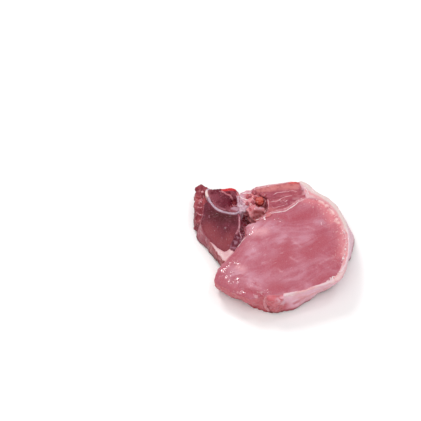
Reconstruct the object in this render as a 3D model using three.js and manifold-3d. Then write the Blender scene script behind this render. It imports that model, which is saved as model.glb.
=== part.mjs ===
// A raw bone-in pork loin chop, lying flat on its lower cut face, in millimetres.
// +Z is up through the thickness of the chop and +X runs along its length, from the
// backbone to the fat cap. The origin is under the middle of the bounding box.
//
// Every muscle, bone and layer of fat is a slab that runs through the whole thickness.
// A slab stands on an outline of its upper cut face, has a rounded upper edge, and its
// upper face is domed or lumpy as a function of x and y. Each slab is then cut back by
// the slabs before it in the list, so that neighbours follow one seam.
import * as THREE from "three";
import { mergeVertices } from "three/addons/utils/BufferGeometryUtils.js";
import Module from "manifold-3d";

const wasm = await Module();
wasm.setup();

// ---------------------------------------------------------------- driving dimensions
const THICKNESS = 20; // nominal thickness of the chop
const REACH = 45; // half of the chop's length, for the slant of its walls
const SEAM = 0.32; // gap between neighbouring slabs
const SILVER_SKIN = 1; // sheet of white connective tissue above the eye muscle
const CARTILAGE = 1.9; // plate round the body of the vertebra
const PROCESS = 1.2; // thin blade of bone between the tenderloin and the eye muscle
const FACET = 3; // length of a facet along a large outline
const FINE_FACET = 2; // and along a small one
const FOOT = 1; // rounding of the lower edge

// How far the lower edge of the chop stands outside (+) or inside (-) its upper edge,
// every 15 degrees anticlockwise from +X: the chop was cut at a slant, by hand.
const SLANT = [
  3, 7.5, 7, 4.5, 3, 2, 2, 2, 2, 1, 0.5, 5,
  1, -1, -4.5, -6.5, -8.5, -5, -1, 0.5, -3.5, -7, -6.5, -2.5,
];

// ---------------------------------------------------------------- outlines, [x, y]
const EYE_OUTLINE = [
  [-18.2, 11.6], [-16.6, 13.4], [-11.7, 14.2], [-6, 17.5], [1, 20.5], [9.2, 23.1],
  [15.7, 28.4], [24, 31], [31.4, 28], [36.6, 21.3], [41.1, 11.7], [42.9, 1.5],
  [42.5, -9.3], [39.7, -19.9], [34.5, -27.8], [25.8, -32.1], [13.6, -36.2], [2.8, -37.8],
  [-6.4, -38.6], [-10.5, -40.8], [-16.4, -42.2], [-25.4, -39.3], [-32.2, -34.4],
  [-38.4, -30], [-39.6, -25.6], [-36.8, -19.2], [-30.5, -11.9], [-25, -5.1], [-20, 1.8],
  [-17.6, 7],
];
const RIM_OUTLINE = [
  [-15, 42.5], [4.3, 43.6], [16.9, 43.8], [21.3, 41.8], [26.7, 35.3], [35.2, 29.2],
  [39.8, 22.5], [43, 13.9], [45.3, 4], [45.3, -5], [43.8, -14.6], [41.6, -22.6],
  [37.4, -29.4], [27.5, -32.9], [17.1, -36.5], [7.5, -39.2], [0, -40.5], [-20, -38],
  [-38, -12], [-38, 22],
];
const BODY_OUTLINE = [
  [-41, 38.4], [-39.7, 33], [-37.8, 28.9], [-34.6, 25.5], [-30.3, 23.6], [-23.3, 23.2],
  [-21.6, 27], [-21.3, 32], [-22.5, 36.9], [-24.6, 39.5], [-31.4, 39.7],
];
const TENDERLOIN_OUTLINE = [
  [-43, 30], [-37.2, 26], [-29, 23], [-23.2, 21], [-22.7, 16.6], [-22.8, 12.2], [-24.6, 7],
  [-26.7, 1.2], [-29.2, -4.2], [-31.4, -5.4], [-36.8, 0], [-41.4, 6], [-44.2, 13], [-44.2, 20],
];
const SIDE_MUSCLE_OUTLINE = [
  [-22.6, 11.6], [-20.3, 9.2], [-18.6, 5.5], [-21, 0.5], [-25, -4], [-27.5, -3], [-25.5, 4],
];
const DORSAL_UPPER_OUTLINE = [
  [-12.8, 39.2], [-8, 41], [4.3, 43], [12, 43.9], [16.2, 43.4], [19, 39], [18, 37.2],
  [13, 37.2], [6, 37], [-2, 36.2], [-8, 36.2], [-11.6, 36.9],
];
const DORSAL_MIDDLE_OUTLINE = [
  [-8.4, 35.2], [-2, 35.6], [6, 36.6], [13.2, 36.6], [19.2, 36.2], [19.4, 33.6], [14, 33.4],
  [6, 33.2], [0, 32.2], [-4.5, 32.4],
];
const DORSAL_LOWER_OUTLINE = [
  [-4.4, 31], [0.5, 31.4], [6.5, 32.5], [13.5, 32.8], [20.4, 33], [20, 30.5], [13.5, 23.5],
  [3, 18], [-7, 15], [-5.4, 20.3], [-3.6, 25],
];
const ARCH_OUTLINE = [
  [-20.6, 36.8], [-16.8, 38.6], [-12.2, 38.9], [-9.3, 35.6], [-5.1, 32], [-3.9, 28], [-4.4, 23.5],
  [-6.4, 19.8], [-8.6, 16], [-12.4, 16], [-14.6, 20.6], [-17, 24.4], [-22, 24.4], [-22, 31],
];
const CANAL_OUTLINE = [
  [-22, 25], [-14, 24], [-12, 18], [-14, 12], [-17, 3], [-19.4, 5], [-21.4, 11], [-22.4, 18],
];
const FLANK_FAT_OUTLINE = [
  [-39.8, 3.6], [-37.4, -1.8], [-34.2, -7.6], [-31.8, -11.8], [-26, -6], [-27, -2], [-33, -1],
];
const TRIM_OUTLINE = [
  [-41.5, 41.2], [-43.2, 43.4], [-46, 42.4], [-48.4, 39], [-48.8, 34.5], [-49.6, 30],
  [-49, 24.8], [-47.6, 20.2], [-45.6, 16.4], [-42, 22], [-40.5, 31], [-40, 38],
];
const RIM_MUSCLE_OUTLINE = [
  [-7.8, -37.6], [-6.8, -40.2], [-3.5, -41.8], [0.6, -41.6], [3.9, -40], [2.6, -36], [-6, -36],
];

// Parts of a ring that are kept, as corners of a straight-sided cut.
const SILVER_SKIN_REGION = [[-9, 10], [-9.5, 24], [4, 36], [19.6, 34], [20.8, 28], [4, 10]];
const CARTILAGE_REGION = [[-40.6, 40.5], [-52, 42], [-52, 8], [-17, 8], [-17, 27], [-30, 30]];
const PROCESS_REGION = [[-28, 24.5], [-17, 24.5], [-17, 7], [-26, 7]];
const FAT_REGION = [
  [16, 50], [17, 43], [18.4, 39.4], [19.8, 36.2], [20.8, 31], [16, 20], [4, -20], [4, -50],
  [60, -50], [60, 50],
];

// ---------------------------------------------------------------- upper faces, z of x, y
const hill = (x, y, [cx, cy, radius, height]) =>
  height * Math.exp(-((x - cx) ** 2 + (y - cy) ** 2) / radius ** 2);
const hills = (x, y, list) => list.reduce((sum, one) => sum + hill(x, y, one), 0);
const ripple = (x, y, length) =>
  Math.sin((2 * Math.PI * x) / length) * Math.sin((2 * Math.PI * (y + 0.3 * x)) / length);

// The cut face rises gently towards the fat cap and sinks at the tapering end.
const cutFace = (x, y) => 18.2 + 0.025 * x - hill(x, y, [-40, -30, 20, 1.2]);
const eyeTop = (x, y) => cutFace(x, y) + hill(x, y, [8, -6, 30, 1.2]) + 0.25 * ripple(x, y, 31);

// The free edge of the eye muscle rolls over widely, and the edge along the fat hardly.
const eyeShoulder = ({ x }) => THREE.MathUtils.lerp(4, 0.6, THREE.MathUtils.smoothstep(x, -16, -4));

const skinTop = (x, y) => cutFace(x, y) - 0.2;
const fatTop = (x, y) => cutFace(x, y) + 0.5 + 0.2 * ripple(x, y, 13);
const dorsalTop = (x, y) => cutFace(x, y) - 0.8 + 0.3 * ripple(x, y, 17);
const dorsalLowerTop = (x, y) => dorsalTop(x, y) - hill(x, y, [1, 29, 5, 0.8]);
const tenderloinTop = (x, y) => 12.8 + 0.09 * Math.max(0, y + 5) + 0.2 * ripple(x, y, 11);
const sideMuscleTop = () => 13.2;
const processTop = (x, y) => tenderloinTop(x, y) + 0.4;
const flankFatTop = (x, y) => 12.4 + hill(x, y, [-31, -9, 5, 0.8]);
const rimMuscleTop = () => 17.5;

// Cut face of the vertebra: a shallow dish, a wedge-shaped hollow and a spongy crest.
const BODY_HILLS = [[-33, 31, 7, -0.7], [-25.5, 31, 3, -3], [-27, 37.5, 3, 0.9]];
const bodyTop = (x, y) => 15.8 + hills(x, y, BODY_HILLS);
const cartilageTop = (x, y) => 15.9 + hill(x, y, [-43, 36, 3, 0.8]);

// Broken bone and tissue of the arch: a ball of marrow, the hollow beside it, and lumps.
const ARCH_HILLS = [
  [-9.4, 29.6, 2.6, 2.2], [-5.2, 28.4, 2, -4], [-9.6, 21, 3.4, 1.8], [-13.2, 34.6, 3, 1.6],
  [-17.6, 31.4, 2.2, 1.2], [-14.4, 27.6, 2.2, -1.8], [-18.6, 26.4, 2.4, 1],
];
const archTop = (x, y) => 14.8 + hills(x, y, ARCH_HILLS) + 0.4 * ripple(x, y, 4.6);

// Dark soft tissue low in the spinal canal.
const canalTop = (x, y) => 11 - hill(x, y, [-16.6, 21, 4, 3]);

// Ragged trimmed meat along the backbone.
const TRIM_HILLS = [[-45.5, 40, 3.4, 1.6], [-48.6, 32, 3, 1.2], [-47.6, 24, 3, 0.9]];
const trimTop = (x, y) => 12.4 + hills(x, y, TRIM_HILLS) + 0.5 * ripple(x, y, 5.3);

// ---------------------------------------------------------------- outline helpers
function anticlockwise(loop) {
  return THREE.ShapeUtils.isClockWise(loop) ? loop.slice().reverse() : loop;
}

function rounded(outline, facet) {
  const corners = outline.map(([x, y]) => new THREE.Vector3(x, y, 0));
  const curve = new THREE.CatmullRomCurve3(corners, true, "centripetal");
  const count = Math.round(curve.getLength() / facet);
  return anticlockwise(curve.getSpacedPoints(count).slice(0, count));
}

function straight(outline) {
  return anticlockwise(outline.map(([x, y]) => new THREE.Vector3(x, y, 0)));
}

// Every point of a loop moved outwards along its own normal, or inwards if negative. The
// distance is a function of the point, for which even() gives one that is the same all over.
const even = (distance) => () => distance;

function offset(loop, distanceAt) {
  return loop.map((point, i) => {
    const before = loop[(i + loop.length - 1) % loop.length];
    const after = loop[(i + 1) % loop.length];
    const along = after.clone().sub(before).normalize();
    const distance = distanceAt(point);
    return new THREE.Vector3(point.x + along.y * distance, point.y - along.x * distance, 0);
  });
}

// ---------------------------------------------------------------- slanted walls
function slantAt(bearing) {
  const step = (2 * Math.PI) / SLANT.length;
  const place = (bearing / step + SLANT.length) % SLANT.length;
  const low = Math.floor(place);
  const blend = THREE.MathUtils.smoothstep(place - low, 0, 1);
  return THREE.MathUtils.lerp(SLANT[low % SLANT.length], SLANT[(low + 1) % SLANT.length], blend);
}

// The whole chop leans together, so neighbouring slabs keep their seam.
function leaned(point) {
  const radius = Math.hypot(point.x, point.y);
  const bearing = Math.atan2(point.y, point.x);
  const share = Math.min(1.2, radius / REACH) ** 2;
  const outwards = slantAt(bearing) * share * (1 - point.z / THICKNESS);
  point.x += outwards * Math.cos(bearing);
  point.y += outwards * Math.sin(bearing);
  return point;
}

// ---------------------------------------------------------------- solids
// A closed body from rings stacked between a lowest and a highest point.
function stacked(rings, lowest, highest) {
  const count = rings[0].length;
  const points = [lowest, ...rings.flat(), highest].map(leaned);
  const at = (ring, i) => 1 + ring * count + (i % count);
  const index = [];
  for (let i = 0; i < count; i += 1) {
    index.push(0, at(0, i + 1), at(0, i));
    for (let ring = 1; ring < rings.length; ring += 1) {
      index.push(at(ring - 1, i), at(ring - 1, i + 1), at(ring, i + 1));
      index.push(at(ring - 1, i), at(ring, i + 1), at(ring, i));
    }
    index.push(at(rings.length - 1, i), at(rings.length - 1, i + 1), points.length - 1);
  }
  const mesh = new wasm.Mesh({
    numProp: 3,
    vertProperties: new Float32Array(points.flatMap((point) => point.toArray())),
    triVerts: new Uint32Array(index),
  });
  return new wasm.Manifold(mesh);
}

const raised = (loop, height) => loop.map((point) => new THREE.Vector3(point.x, point.y, height));

// The slab of one tissue. Its wall rises to the shoulder, a quarter round leads over to
// the upper face, and rings drawn in towards the centre carry that face's relief.
function slab({ outline, centre, top, shoulder, rings = 2, facet = FINE_FACET, spread = 0 }) {
  const edge = offset(rounded(outline, facet), even(spread));
  const lift = (point, drop) => {
    point.z = top(point.x, point.y) - drop;
    return point;
  };
  const quarter = (turn) => {
    const inset = offset(edge, (point) => -shoulder(point) * (1 - Math.cos(turn)));
    return inset.map((point, i) => lift(point, shoulder(edge[i]) * (1 - Math.sin(turn))));
  };
  const crown = new THREE.Vector3(centre[0], centre[1], 0);
  const stack = [
    raised(offset(edge, even(-FOOT)), 0),
    raised(edge, FOOT),
    raised(edge, THICKNESS / 2),
    quarter(0),
    quarter(Math.PI / 4),
  ];
  const brow = quarter(Math.PI / 2);
  for (let ring = 0; ring < rings; ring += 1) {
    const inward = ring / rings;
    stack.push(brow.map((point) => lift(point.clone().lerp(crown, inward), 0)));
  }
  return stacked(stack, crown.clone().setZ(0), lift(crown.clone(), 0));
}

// A straight-walled column over a loop, taller than the chop, to cut or keep with.
function column(loop, centre) {
  const heights = [-2, THICKNESS / 2, THICKNESS + 4];
  const middle = new THREE.Vector3(centre[0], centre[1], 0);
  const stack = heights.map((height) => raised(loop, height));
  return stacked(stack, middle.clone().setZ(heights[0]), middle.clone().setZ(heights.at(-1)));
}

function kept(region, grow) {
  const loop = offset(straight(region.corners), even(grow));
  return column(loop, region.centre);
}

// The room that a tissue takes, with the seam round it.
function room(tissue) {
  const loop = rounded(tissue.outline, tissue.facet ?? FINE_FACET);
  const whole = column(offset(loop, even((tissue.spread ?? 0) + SEAM)), tissue.centre);
  return tissue.region ? whole.intersect(kept(tissue.region, SEAM)) : whole;
}

function largestPiece(solid) {
  return solid.decompose().sort((a, b) => b.volume() - a.volume())[0];
}

// ---------------------------------------------------------------- the tissues, in order
const MEAT = { roughness: 0.35 };
const FAT = { roughness: 0.45 };
const BONE = { roughness: 0.55 };

const tissues = [
  {
    name: "eye_muscle", colour: "#c4707f", finish: MEAT, outline: EYE_OUTLINE,
    centre: [4, -5], top: eyeTop, shoulder: eyeShoulder, rings: 6, facet: FACET,
  },
  {
    name: "silver_skin", colour: "#e9cfd2", finish: FAT, outline: EYE_OUTLINE,
    centre: [4, -5], top: skinTop, shoulder: even(0.3), rings: 2, facet: FACET,
    spread: SEAM + SILVER_SKIN, region: { corners: SILVER_SKIN_REGION, centre: [5, 22] },
  },
  {
    name: "fat_cap", colour: "#ead9da", finish: FAT, outline: RIM_OUTLINE,
    centre: [4, 0], top: fatTop, shoulder: even(0.6), rings: 6, facet: FACET,
    region: { corners: FAT_REGION, centre: [40, 0] },
  },
  {
    name: "vertebra_body", colour: "#8a4757", finish: BONE, outline: BODY_OUTLINE,
    centre: [-30, 31], top: bodyTop, shoulder: even(0.4), rings: 5,
  },
  {
    name: "vertebra_cartilage", colour: "#cdb4c1", finish: FAT, outline: BODY_OUTLINE,
    centre: [-30, 31], top: cartilageTop, shoulder: even(0.4), rings: 2,
    spread: SEAM + CARTILAGE, region: { corners: CARTILAGE_REGION, centre: [-42, 18] },
  },
  {
    name: "tenderloin", colour: "#7a3544", finish: MEAT, outline: TENDERLOIN_OUTLINE,
    centre: [-34, 12], top: tenderloinTop, shoulder: even(1), rings: 5,
  },
  {
    name: "transverse_process", colour: "#d9b4b8", finish: BONE, outline: TENDERLOIN_OUTLINE,
    centre: [-34, 12], top: processTop, shoulder: even(0.3), rings: 2,
    spread: SEAM + PROCESS, region: { corners: PROCESS_REGION, centre: [-21, 15] },
  },
  {
    name: "side_muscle", colour: "#7d4150", finish: MEAT, outline: SIDE_MUSCLE_OUTLINE,
    centre: [-23, 3], top: sideMuscleTop, shoulder: even(0.5), rings: 2,
  },
  {
    name: "dorsal_muscle_upper", colour: "#b7565c", finish: MEAT, outline: DORSAL_UPPER_OUTLINE,
    centre: [2, 39.4], top: dorsalTop, shoulder: even(0.7), rings: 2,
  },
  {
    name: "dorsal_muscle_middle", colour: "#a84e58", finish: MEAT, outline: DORSAL_MIDDLE_OUTLINE,
    centre: [6, 34.8], top: dorsalTop, shoulder: even(0.4), rings: 2,
  },
  {
    name: "dorsal_muscle_lower", colour: "#b05562", finish: MEAT, outline: DORSAL_LOWER_OUTLINE,
    centre: [5, 27], top: dorsalLowerTop, shoulder: even(0.5), rings: 4,
  },
  {
    name: "vertebra_arch", colour: "#b9525a", finish: BONE, outline: ARCH_OUTLINE,
    centre: [-12.5, 27.5], top: archTop, shoulder: even(0.5), rings: 6,
  },
  {
    name: "canal_tissue", colour: "#5c1f2a", finish: MEAT, outline: CANAL_OUTLINE,
    centre: [-18, 14], top: canalTop, shoulder: even(0.4), rings: 4,
  },
  {
    name: "flank_fat", colour: "#dcb0b0", finish: FAT, outline: FLANK_FAT_OUTLINE,
    centre: [-32, -6], top: flankFatTop, shoulder: even(0.6), rings: 3,
  },
  {
    name: "trim_meat", colour: "#a5434e", finish: MEAT, outline: TRIM_OUTLINE,
    centre: [-45.5, 31], top: trimTop, shoulder: even(1.2), rings: 5,
  },
  {
    name: "rim_muscle", colour: "#b85660", finish: MEAT, outline: RIM_MUSCLE_OUTLINE,
    centre: [-2, -40], top: rimMuscleTop, shoulder: even(1.2), rings: 2,
  },
];

// ---------------------------------------------------------------- cutting and meshes
const rooms = [];
const solids = tissues.map((tissue) => {
  let solid = slab(tissue);
  if (tissue.region) {
    solid = solid.intersect(kept(tissue.region, 0));
  }
  for (const taken of rooms) {
    solid = solid.subtract(taken);
  }
  rooms.push(room(tissue));
  return largestPiece(solid);
});

function geometryOf(solid) {
  const mesh = solid.getMesh();
  const geometry = new THREE.BufferGeometry();
  geometry.setAttribute("position", new THREE.BufferAttribute(mesh.vertProperties, 3));
  geometry.setIndex(new THREE.BufferAttribute(mesh.triVerts, 1));
  return mergeVertices(geometry, 1e-4);
}

const chop = new THREE.Group();
tissues.forEach(({ name, colour, finish }, i) => {
  const material = new THREE.MeshStandardMaterial({ color: colour, metalness: 0, ...finish });
  const mesh = new THREE.Mesh(geometryOf(solids[i]), material);
  mesh.name = name;
  chop.add(mesh);
});

// The origin is brought under the middle of the bounding box.
const middle = new THREE.Box3().setFromObject(chop).getCenter(new THREE.Vector3());
chop.position.set(-middle.x, -middle.y, 0);

export default chop;
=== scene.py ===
import math

import bmesh
import bpy
import numpy as np
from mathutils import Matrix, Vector


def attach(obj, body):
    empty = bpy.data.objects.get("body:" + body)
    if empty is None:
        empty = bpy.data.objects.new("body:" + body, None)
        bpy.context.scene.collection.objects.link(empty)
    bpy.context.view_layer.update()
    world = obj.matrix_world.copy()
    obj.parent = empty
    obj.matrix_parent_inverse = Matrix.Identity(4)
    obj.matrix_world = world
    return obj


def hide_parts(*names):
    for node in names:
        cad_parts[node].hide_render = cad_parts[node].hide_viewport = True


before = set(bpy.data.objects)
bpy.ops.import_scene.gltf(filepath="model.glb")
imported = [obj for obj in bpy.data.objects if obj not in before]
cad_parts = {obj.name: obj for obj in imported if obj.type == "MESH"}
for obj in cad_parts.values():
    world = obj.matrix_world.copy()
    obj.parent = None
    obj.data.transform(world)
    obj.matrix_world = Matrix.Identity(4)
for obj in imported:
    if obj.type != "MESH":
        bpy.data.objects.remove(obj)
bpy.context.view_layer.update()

MM = 0.001  # every size below is written in millimetres

# ---------------------------------------------------------------- eye muscle
# The large lean muscle of the loin, sliced across its grain and trimmed smooth. Its cut
# face is domed, rolls over at the free edges and is covered by a film of meat juice.
# Milky clouds, partly fascia and partly painted sheen, and faint marbling lie in the rose-pink meat.
tissues = bpy.data.collections.new("tissues")  # the large pieces, which small ones are laid on
bpy.context.scene.collection.children.link(tissues)


def linear(colour):
    """The linear colour of an sRGB hex value such as #c06a7c."""
    parts = [int(colour[i:i + 2], 16) / 255 for i in (1, 3, 5)]
    return (*[p / 12.92 if p <= 0.04045 else ((p + 0.055) / 1.055) ** 2.4 for p in parts], 1)


def add(tree, kind, inputs=None, **settings):
    """Adds one node with its settings. An input is a number, a colour or another node's output."""
    node = tree.nodes.new(kind)
    for name, value in settings.items():
        setattr(node, name, value)
    for socket, value in (inputs or {}).items():
        if isinstance(value, bpy.types.NodeSocket):
            tree.links.new(value, node.inputs[socket])
        else:
            node.inputs[socket].default_value = value
    return node


def put(tree, kind, inputs=None, **settings):
    """Adds one node and returns its first output."""
    return add(tree, kind, inputs, **settings).outputs[0]


def maths(tree, operation, first, second):
    """One sum of two values."""
    return put(tree, "ShaderNodeMath", {0: first, 1: second}, operation=operation)


def times(tree, first, second):
    """Two values multiplied, such as one mask by another."""
    return maths(tree, "MULTIPLY", first, second)


def masked(tree, value, start, end, strength=1.0):
    """A mask that grows from nothing at start to its full strength at end."""
    return put(tree, "ShaderNodeMapRange", {0: value, 1: start, 2: end, 3: 0.0, 4: strength},
               interpolation_type="SMOOTHSTEP")


def new_form(name, sockets):
    """An empty tree of geometry nodes with named inputs, given as name: (socket type, value). A
    Length is in millimetres."""
    tree = bpy.data.node_groups.new(name, "GeometryNodeTree")
    tree.interface.new_socket("Geometry", in_out="INPUT", socket_type="NodeSocketGeometry")
    for title, (kind, value) in sockets.items():
        length = kind == "Length"
        kind = "NodeSocketFloat" if length else "NodeSocket" + kind
        socket = tree.interface.new_socket(title, in_out="INPUT", socket_type=kind)
        if length:
            socket.subtype = "DISTANCE"
        if value is not None:
            socket.default_value = value * MM if length else value
    tree.interface.new_socket("Geometry", in_out="OUTPUT", socket_type="NodeSocketGeometry")
    return tree, add(tree, "NodeGroupInput").outputs


def moved(tree, shape, **where):
    """The shape with its points at a new Position or shifted by an Offset."""
    return put(tree, "GeometryNodeSetPosition", {"Geometry": shape, **where})


def scaled(tree, vector, size):
    return put(tree, "ShaderNodeVectorMath", {0: vector, "Scale": size}, operation="SCALE")


def eased(tree, rounds):
    """The place of each point, averaged with its neighbours that many times."""
    place = put(tree, "GeometryNodeInputPosition")
    return put(tree, "GeometryNodeBlurAttribute", {"Value": place, "Iterations": rounds},
               data_type="FLOAT_VECTOR")


def lumps(tree, size, seed):
    """Noise from 0 to 1 with lumps of about that size."""
    scale = maths(tree, "DIVIDE", 1.0, size)
    return put(tree, "ShaderNodeTexNoise", {"Scale": scale, "Detail": 2.0, "W": seed},
               noise_dimensions="4D")


def raised(tree, skin, rise, height, middle=0.5):
    """The skin moved along its own direction by (rise - middle) x height."""
    swing = maths(tree, "SUBTRACT", rise, middle)
    offset = scaled(tree, put(tree, "GeometryNodeInputNormal"), times(tree, swing, height))
    return moved(tree, skin, Offset=offset)


def near(tree, source, element, reach, place):
    """1 beside the source's points or edges, seen from above, falling to 0 at that reach."""
    shape = add(tree, "GeometryNodeObjectInfo", {"Object": source}).outputs["Geometry"]
    found = add(tree, "GeometryNodeProximity", {"Geometry": shape, "Sample Position": place},
                target_element=element).outputs
    return times(tree, masked(tree, found["Distance"], reach, 0.0), found["Is Valid"])


def finished(tree, skin, given):
    """Ends a tree: smooth shading and the finish."""
    skin = put(tree, "GeometryNodeSetShadeSmooth", {"Geometry": skin})
    skin = put(tree, "GeometryNodeSetMaterial", {"Geometry": skin, "Material": given["Finish"]})
    add(tree, "NodeGroupOutput", {"Geometry": skin})
    return tree


def flesh_form():
    """Turns a CAD solid into soft tissue: an even fine mesh, rounded and swollen to meet its
    neighbours, with lumps, wrinkles, ridges along lines, pits, puckers and ragged free sides."""
    tree, given = new_form("flesh", {
        "Fineness": ("Length", 0.4), "Swelling": ("Length", 0.3), "Softness": ("Int", 3),
        "Lump Size": ("Length", 14), "Lump Height": ("Length", 0.5),
        "Wrinkle Size": ("Length", 2.4), "Wrinkle Height": ("Length", 0.12),
        "Ragged Size": ("Length", 3.5), "Ragged Height": ("Length", 1.5),
        "Seam Height": ("Length", 0.5),
        "Wet Spots": ("Object", None), "Wet Radius": ("Length", 4), "Wet Height": ("Length", 0.0),
        "Lines": ("Object", None), "Line Width": ("Length", 0.8), "Line Height": ("Length", 0.0),
        "Pits": ("Object", None), "Pit Radius": ("Length", 2), "Pit Depth": ("Length", 1),
        "Beside": ("Collection", None), "Seed": ("Float", 0.0), "Finish": ("Material", None),
    })
    grid = put(tree, "GeometryNodeMeshToSDFGrid",
               {"Mesh": given["Geometry"], "Voxel Size": given["Fineness"], "Band Width": 4})
    skin = put(tree, "GeometryNodeGridToMesh", {"Grid": grid, "Threshold": given["Swelling"]})
    skin = moved(tree, skin, Position=eased(tree, given["Softness"]))
    axes = add(tree, "ShaderNodeSeparateXYZ", {0: put(tree, "GeometryNodeInputPosition")}).outputs
    plan = put(tree, "ShaderNodeCombineXYZ", {0: axes[0], 1: axes[1]})
    around = put(tree, "GeometryNodeCollectionInfo", {"Collection": given["Beside"]})
    around = put(tree, "GeometryNodeRealizeInstances", {"Geometry": around})
    seam = add(tree, "GeometryNodeProximity", {"Geometry": around},
               target_element="FACES").outputs["Distance"]
    crag = lumps(tree, given["Wrinkle Size"], given["Seed"])
    facing = add(tree, "ShaderNodeSeparateXYZ", {0: put(tree, "GeometryNodeInputNormal")}).outputs[2]
    upper = masked(tree, facing, 0.1, 0.5)  # marks drawn from above touch the cut face alone
    drops = lumps(tree, 2.3 * MM, given["Seed"])  # the puckers at the wet spots
    marks = {"seam": seam, "crag": crag}
    for title, source, element, reach in (("wet", "Wet Spots", "POINTS", "Wet Radius"),
                                          ("line", "Lines", "EDGES", "Line Width"),
                                          ("pit", "Pits", "POINTS", "Pit Radius")):
        marks[title] = times(tree, upper, near(tree, given[source], element, given[reach], plan))
    for title, value in marks.items():
        skin = put(tree, "GeometryNodeStoreNamedAttribute",
                   {"Geometry": skin, "Name": title, "Value": value}, data_type="FLOAT", domain="POINT")
    free = times(tree, masked(tree, facing, 0.8, 0.3),
                 masked(tree, seam, 0.8 * MM, 2.5 * MM))  # steep sides with no neighbour
    skin = raised(tree, skin, lumps(tree, given["Lump Size"], given["Seed"]), given["Lump Height"])
    skin = raised(tree, skin, crag, given["Wrinkle Height"])
    skin = raised(tree, skin, lumps(tree, given["Ragged Size"], given["Seed"]),
                  times(tree, free, given["Ragged Height"]))
    skin = raised(tree, skin, drops, times(tree, marks["wet"], given["Wet Height"]))
    skin = raised(tree, skin, masked(tree, seam, 1.5 * MM, 0.4 * MM), given["Seam Height"], 0.0)
    skin = raised(tree, skin, marks["line"], given["Line Height"], 0.0)
    skin = raised(tree, skin, times(tree, marks["pit"], -1.0), given["Pit Depth"], 0.0)
    above = maths(tree, "MAXIMUM", axes[2], 0.0)
    resting = put(tree, "ShaderNodeCombineXYZ", {0: axes[0], 1: axes[1], 2: above})  # on the table
    return finished(tree, moved(tree, skin, Position=resting), given)


def formed(name, home, mesh, tree, values):
    """A plain mesh object that a tree of geometry nodes makes from the given mesh. The lengths among
    its values are in millimetres."""
    piece = bpy.data.objects.new(name, mesh)
    home.objects.link(piece)
    modifier = piece.modifiers.new(tree.name, "NODES")
    modifier.node_group = tree
    titles = {title.replace("_", " ").title(): value for title, value in values.items()}
    for socket in tree.interface.items_tree:
        if socket.name in titles:
            value = titles[socket.name]
            length = getattr(socket, "subtype", None) == "DISTANCE"
            modifier[socket.identifier] = value * MM if length else value
    made = piece.evaluated_get(bpy.context.evaluated_depsgraph_get())
    plain = bpy.data.meshes.new_from_object(made)
    piece.modifiers.clear()
    piece.data = plain
    plain.name = name
    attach(piece, "root")
    return piece


flesh = flesh_form()


def swelling_added(solid, rings):
    """Joins a closed form to the solid. It is given as height: ring of x, y points, both in
    millimetres, with the lowest ring first."""
    shape = bmesh.new()
    shape.from_mesh(solid)
    loops = [[shape.verts.new((x * MM, y * MM, height * MM)) for x, y in ring]
             for height, ring in rings.items()]
    shape.faces.new(reversed(loops[0]))
    shape.faces.new(loops[-1])
    for low, high in zip(loops, loops[1:]):
        for corners in zip(low, low[1:] + low[:1], high[1:] + high[:1], high):
            shape.faces.new(corners)
    shape.to_mesh(solid)
    shape.free()


def tissue(name, node, slot, finish, swollen=None, **values):
    """The finished piece that stands for one CAD solid, with its swelling joined to it."""
    beside = bpy.data.collections.new("beside_" + node)
    for other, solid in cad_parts.items():
        if other != node:
            beside.objects.link(solid)
    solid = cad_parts[node].data.copy()
    if swollen:
        swelling_added(solid, swollen)
    piece = formed(name, tissues, solid, flesh, {"finish": finish, "beside": beside, **values})
    bpy.data.collections.remove(beside)
    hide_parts(node)
    return piece


def drawn(name, *paths):
    """Paths of x, y points in millimetres, with or without a height, for a tree to use."""
    mesh = bpy.data.meshes.new(name)
    points = [[part * MM for part in (*point, 0)[:3]] for path in paths for point in path]
    starts = np.cumsum([0] + [len(path) for path in paths])
    edges = [(i, i + 1) for i in range(len(points) - 1) if i + 1 not in starts]
    mesh.from_pydata(points, edges, [])
    return bpy.data.objects.new(name, mesh)


def dotted(name, *spots):
    """Single points for a tree to use."""
    return drawn(name, *[[spot] for spot in spots])


def marked(piece, name, strokes):
    """Writes an attribute that is full on each stroke and fades out beside it. A stroke is its
    strength, its radius and a path of x, y points in millimetres, or x, y, z on a wall."""
    everywhere = np.empty(len(piece.data.vertices) * 3)
    piece.data.vertices.foreach_get("co", everywhere)
    total = np.zeros(len(piece.data.vertices))
    for strength, radius, path in strokes:
        places = everywhere.reshape(-1, 3)[:, :len(path[0])] / MM
        apart = np.full(len(places), np.inf)
        for start, end in zip(path, path[1:] or path):
            start, way = np.array(start), np.subtract(end, start)
            along = np.clip((places - start) @ way / max(way @ way, 1e-9), 0, 1)
            apart = np.minimum(apart, ((places - start - along[:, None] * way) ** 2).sum(axis=1))
        total = np.maximum(total, strength * np.exp(-apart / radius ** 2))
    values = piece.data.attributes.new(name, "FLOAT", "POINT")
    values.data.foreach_set("value", total)


def new_finish(name):
    """An empty material, its tree and the place on the piece in metres."""
    material = bpy.data.materials.new(name)
    material.use_nodes = True
    tree = material.node_tree
    tree.nodes.clear()
    return material, tree, add(tree, "ShaderNodeTexCoord").outputs["Object"]


def steep(tree):
    """A mask of the side walls: nothing on the cut face, full on an upright wall."""
    normal = add(tree, "ShaderNodeTexCoord").outputs["Normal"]
    return masked(tree, add(tree, "ShaderNodeSeparateXYZ", {0: normal}).outputs[2], 0.75, 0.3)


def height_of(tree, place):
    """The height over the table in metres."""
    return add(tree, "ShaderNodeSeparateXYZ", {0: place}).outputs[2]


def patches(tree, place, size, low, high, strength=1.0, detail=3.0, warp=0.0):
    """A mask of soft patches of that size in millimetres: nothing where the noise is under low,
    full above high."""
    noise = put(tree, "ShaderNodeTexNoise",
                {"Vector": place, "Scale": 1 / (size * MM), "Detail": detail, "Distortion": warp})
    return masked(tree, noise, low, high, strength)


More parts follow.
